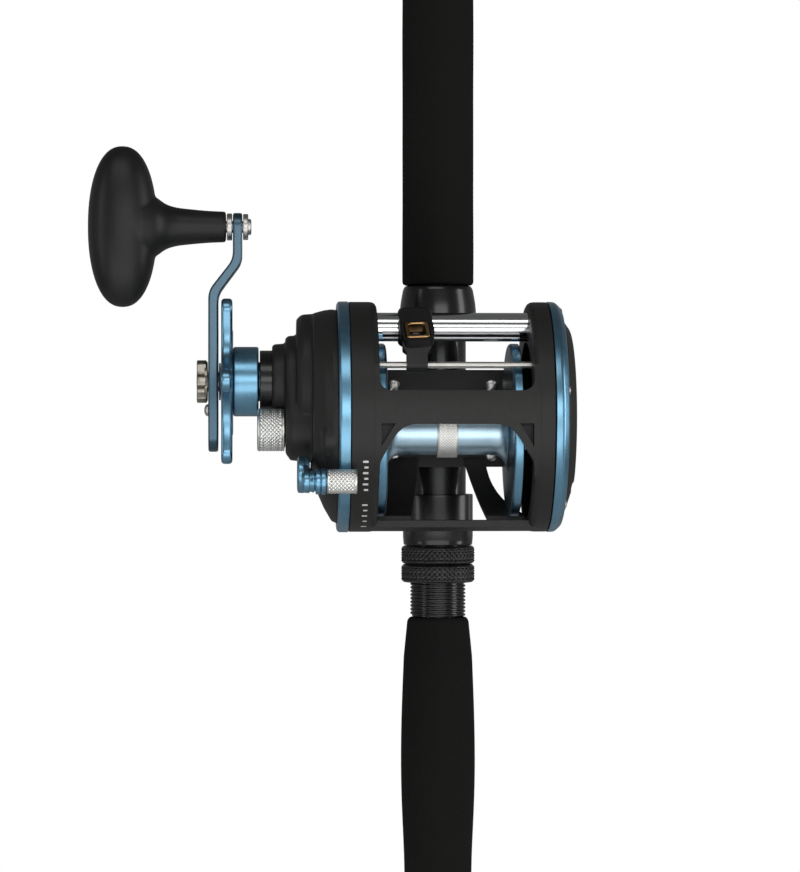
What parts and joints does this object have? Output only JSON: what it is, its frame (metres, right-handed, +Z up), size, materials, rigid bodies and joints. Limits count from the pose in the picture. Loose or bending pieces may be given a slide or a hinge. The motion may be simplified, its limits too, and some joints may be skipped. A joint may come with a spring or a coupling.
{
  "type": "fishing rod and reel",
  "caption": "Boat fishing rod with a level-wind trolling reel: foam grips, screw-down reel seat, ringed guides, star drag, T-bar handle and a see-through frame.",
  "frame": {"origin": "middle of the flat underside of the butt cap", "axes": "+Z up the rod to its tip, -Y the side that the reel and the guides stand on, -X the handle side"},
  "size_m": [0.184, 0.1214, 1.83],
  "materials": {
    "eva_foam": "matte closed-cell foam",
    "graphite": "fine satin texture",
    "gloss_black": "polished",
    "blank_black": "clear-coated",
    "knurled_black": "diamond knurl",
    "soft_black": "soft-touch satin",
    "blue_anodised": "blue anodised, satin",
    "knurled_silver": "diamond knurl",
    "satin_steel": "satin",
    "machined_steel": "turned",
    "guide_steel": "polished dark",
    "chrome_tube": "mirror polished",
    "gear_brass": "machined",
    "bronze_eye": "polished",
    "ring_ceramic": "polished",
    "drag_fibre": "woven carbon fibre"
  },
  "bodies": {
    "rod_and_frame": {"rod_blank": "blank_black", "butt_cap": "soft_black", "rear_grip": "eva_foam", "reel_seat": "gloss_black", "foregrip": "eva_foam", "winding_check": "blue_anodised", "guide_1_frame": "guide_steel", "guide_1_ring": "ring_ceramic", "guide_2_frame": "guide_steel", "guide_2_ring": "ring_ceramic", "guide_3_frame": "guide_steel", "guide_3_ring": "ring_ceramic", "guide_4_frame": "guide_steel", "guide_4_ring": "ring_ceramic", "tip_top_frame": "guide_steel", "tip_top_ring": "ring_ceramic", "reel_frame": "graphite", "reel_foot": "gloss_black", "head_trim_ring": "blue_anodised", "head_side_plate": "graphite", "tail_trim_ring": "blue_anodised", "tail_side_plate": "graphite", "bridge_plate": "machined_steel", "head_bearing": "machined_steel", "tail_bearing": "machined_steel", "level_wind_tube": "chrome_tube", "guide_rod": "satin_steel"},
    "seat_hood": {"sliding_hood": "gloss_black"},
    "hood_lock_nut": {"lock_nut": "knurled_black"},
    "hood_jam_nut": {"jam_nut": "knurled_black"},
    "crank": {"gear_shaft": "machined_steel", "main_gear": "gear_brass", "drag_washer": "drag_fibre", "drag_plate": "machined_steel", "ratchet_wheel": "machined_steel", "star_spacer": "soft_black", "handle_arm": "blue_anodised", "handle_nut": "satin_steel", "knob_pin": "satin_steel", "knob_bushing": "satin_steel"},
    "star": {"star_drag": "blue_anodised"},
    "knob": {"handle_knob": "soft_black"},
    "spool_assembly": {"spool": "blue_anodised", "arbor_band": "knurled_silver", "spool_shaft": "machined_steel", "click_gear": "machined_steel"},
    "yoke": {"clutch_yoke": "machined_steel"},
    "pinion": {"pinion_gear": "gear_brass"},
    "lever": {"freespool_lever": "blue_anodised", "lever_roller": "knurled_silver"},
    "cast_cap": {"cast_control_cap": "knurled_silver"},
    "idler": {"idler_gear": "gear_brass"},
    "worm": {"worm_shaft": "machined_steel", "worm_gear": "gear_brass"},
    "wind_carriage": {"line_guide": "graphite", "line_guide_insert": "bronze_eye", "pawl_cap": "gloss_black"},
    "clicker": {"clicker_button": "satin_steel", "click_pawl": "machined_steel"},
    "dog": {"anti_reverse_dog": "machined_steel"}
  },
  "joints": [
    {"name": "handle_spin", "type": "hinge", "parent": "rod_and_frame", "child": "crank", "pos_m": [-0.08, -0.046, 0.44361], "axis": [1, 0, 0], "continuous": true},
    {"name": "knob_spin", "type": "hinge", "parent": "crank", "child": "knob", "pos_m": [-0.11, -0.046, 0.50311], "axis": [1, 0, 0], "continuous": true},
    {"name": "star_drag_turn", "type": "hinge", "parent": "crank", "child": "star", "pos_m": [-0.084, -0.046, 0.44361], "axis": [1, 0, 0], "range_deg": [-270, 270]},
    {"name": "spool_spin", "type": "hinge", "parent": "rod_and_frame", "child": "spool_assembly", "pos_m": [0, -0.058, 0.425], "axis": [1, 0, 0], "continuous": true},
    {"name": "clutch_slide", "type": "slide", "parent": "rod_and_frame", "child": "yoke", "axis": [-1, 0, 0], "range_m": [0, 0.0016]},
    {"name": "pinion_spin", "type": "hinge", "parent": "yoke", "child": "pinion", "pos_m": [-0.05, -0.058, 0.425], "axis": [1, 0, 0], "continuous": true},
    {"name": "freespool_lever_swing", "type": "hinge", "parent": "rod_and_frame", "child": "lever", "pos_m": [-0.0545, -0.077, 0.4082], "axis": [1, 0, 0], "range_deg": [0, 38]},
    {"name": "cast_control_turn", "type": "hinge", "parent": "rod_and_frame", "child": "cast_cap", "pos_m": [-0.067, -0.058, 0.425], "axis": [1, 0, 0], "range_deg": [-180, 180]},
    {"name": "idler_spin", "type": "hinge", "parent": "rod_and_frame", "child": "idler", "pos_m": [-0.0398, -0.06058, 0.45197], "axis": [1, 0, 0], "continuous": true},
    {"name": "worm_spin", "type": "hinge", "parent": "rod_and_frame", "child": "worm", "pos_m": [-0.0398, -0.066, 0.464], "axis": [1, 0, 0], "continuous": true},
    {"name": "line_guide_slide", "type": "slide", "parent": "rod_and_frame", "child": "wind_carriage", "axis": [1, 0, 0], "range_m": [-0.0039, 0.0291]},
    {"name": "hood_slide", "type": "slide", "parent": "rod_and_frame", "child": "seat_hood", "axis": [0, 0, -1], "range_m": [0, 0.012]},
    {"name": "lock_nut_turn", "type": "hinge", "parent": "seat_hood", "child": "hood_lock_nut", "pos_m": [0, 0, 0.375], "axis": [0, 0, 1], "range_deg": [-2880, 0]},
    {"name": "jam_nut_turn", "type": "hinge", "parent": "seat_hood", "child": "hood_jam_nut", "pos_m": [0, 0, 0.368], "axis": [0, 0, 1], "range_deg": [-2880, 0]},
    {"name": "clicker_slide", "type": "slide", "parent": "rod_and_frame", "child": "clicker", "axis": [0, 1, 0], "range_m": [0, 0.0042]},
    {"name": "anti_reverse_dog_swing", "type": "hinge", "parent": "rod_and_frame", "child": "dog", "pos_m": [-0.0439, -0.03, 0.43], "axis": [1, 0, 0], "range_deg": [0, 14]}
  ],
  "couplings": [
    {"joint": "spool_spin", "follows": "handle_spin", "ratio": -3.9},
    {"joint": "pinion_spin", "follows": "handle_spin", "ratio": -3.9},
    {"joint": "idler_spin", "follows": "handle_spin", "ratio": -0.90909},
    {"joint": "worm_spin", "follows": "handle_spin", "ratio": 1.8182},
    {"joint": "clutch_slide", "follows": "freespool_lever_swing", "m_per_rad": 0.0024125},
    {"joint": "hood_slide", "follows": "lock_nut_turn", "m_per_rad": -0.00023873},
    {"joint": "jam_nut_turn", "follows": "lock_nut_turn", "ratio": 1}
  ]
}
